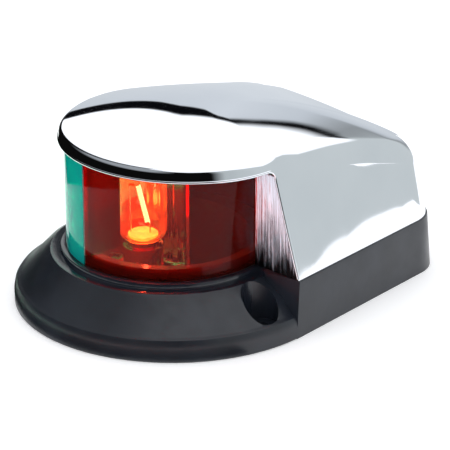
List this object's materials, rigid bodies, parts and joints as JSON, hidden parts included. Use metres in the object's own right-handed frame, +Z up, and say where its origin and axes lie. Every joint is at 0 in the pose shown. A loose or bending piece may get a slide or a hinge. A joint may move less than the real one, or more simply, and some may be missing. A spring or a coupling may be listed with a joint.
{
  "type": "navigation light",
  "caption": "Bow navigation light with red and green lenses under a chromed hood, a bayonet lamp inside and a black base screwed to the deck.",
  "frame": {"origin": "deck plane, midway between the two mounting holes", "axes": "+Z up from the deck, -Y towards the bow, +X towards port, where the red lens is"},
  "size_m": [0.086, 0.114, 0.0536],
  "materials": {
    "black_plastic": "satin black moulded plastic with a fine grain",
    "chrome_plate": "mirror chrome plate",
    "red_acrylic": "transparent red acrylic",
    "green_acrylic": "transparent blue-green acrylic",
    "clear_glass": "clear glass",
    "black_glass": "black glass insulator",
    "polished_aluminium": "polished",
    "zinc_plated_steel": "zinc plated",
    "stainless_steel": "bright stainless",
    "spring_steel": "drawn wire",
    "nickel_wire": "drawn wire",
    "nickel_plated_brass": "nickel plated",
    "brass": "bright brass",
    "solder": "solder, dull",
    "tungsten": "coiled filament, lit",
    "phenolic": "brown phenolic",
    "rubber": "black rubber",
    "foam_rubber": "closed-cell foam"
  },
  "bodies": {
    "base": {"base_housing": "black_plastic", "deck_gasket": "foam_rubber", "wire_grommet": "rubber", "hood_seal": "rubber", "lens_seal_lower": "rubber", "lens_red": "red_acrylic", "lens_green": "green_acrylic", "lens_screen": "black_plastic", "reflector": "polished_aluminium", "socket_bracket": "zinc_plated_steel", "bracket_screws": "stainless_steel", "socket_shell": "nickel_plated_brass", "socket_insulator": "phenolic", "live_terminal": "brass", "earth_terminal": "zinc_plated_steel", "contact_spring": "spring_steel", "hood_screws": "stainless_steel"},
    "contact": {"contact_carrier": "phenolic", "contact_button": "brass"},
    "bulb": {"bulb_tip_contact": "solder", "bulb_tip_insulator": "black_glass", "bulb_cap": "nickel_plated_brass", "bulb_pins": "brass", "bulb_stem": "clear_glass", "filament_supports": "nickel_wire", "bulb_filament": "tungsten", "bulb_glass": "clear_glass"},
    "hood": {"hood": "chrome_plate", "lens_seal_upper": "rubber"}
  },
  "joints": [
    {"name": "hood_lift", "type": "slide", "parent": "base", "child": "hood", "axis": [0, 0, 1], "range_m": [0, 0.045]},
    {"name": "bulb_press", "type": "slide", "parent": "base", "child": "contact", "axis": [0, 0, -1], "range_m": [0, 0.0015], "stiffness_N_per_m": 600, "springref_m": -0.002, "deforming": ["contact_spring"]},
    {"name": "bulb_turn", "type": "hinge", "parent": "contact", "child": "bulb", "pos_m": [0, -0.0103, 0.0146], "axis": [0, 0, 1], "range_deg": [0, 35]}
  ]
}
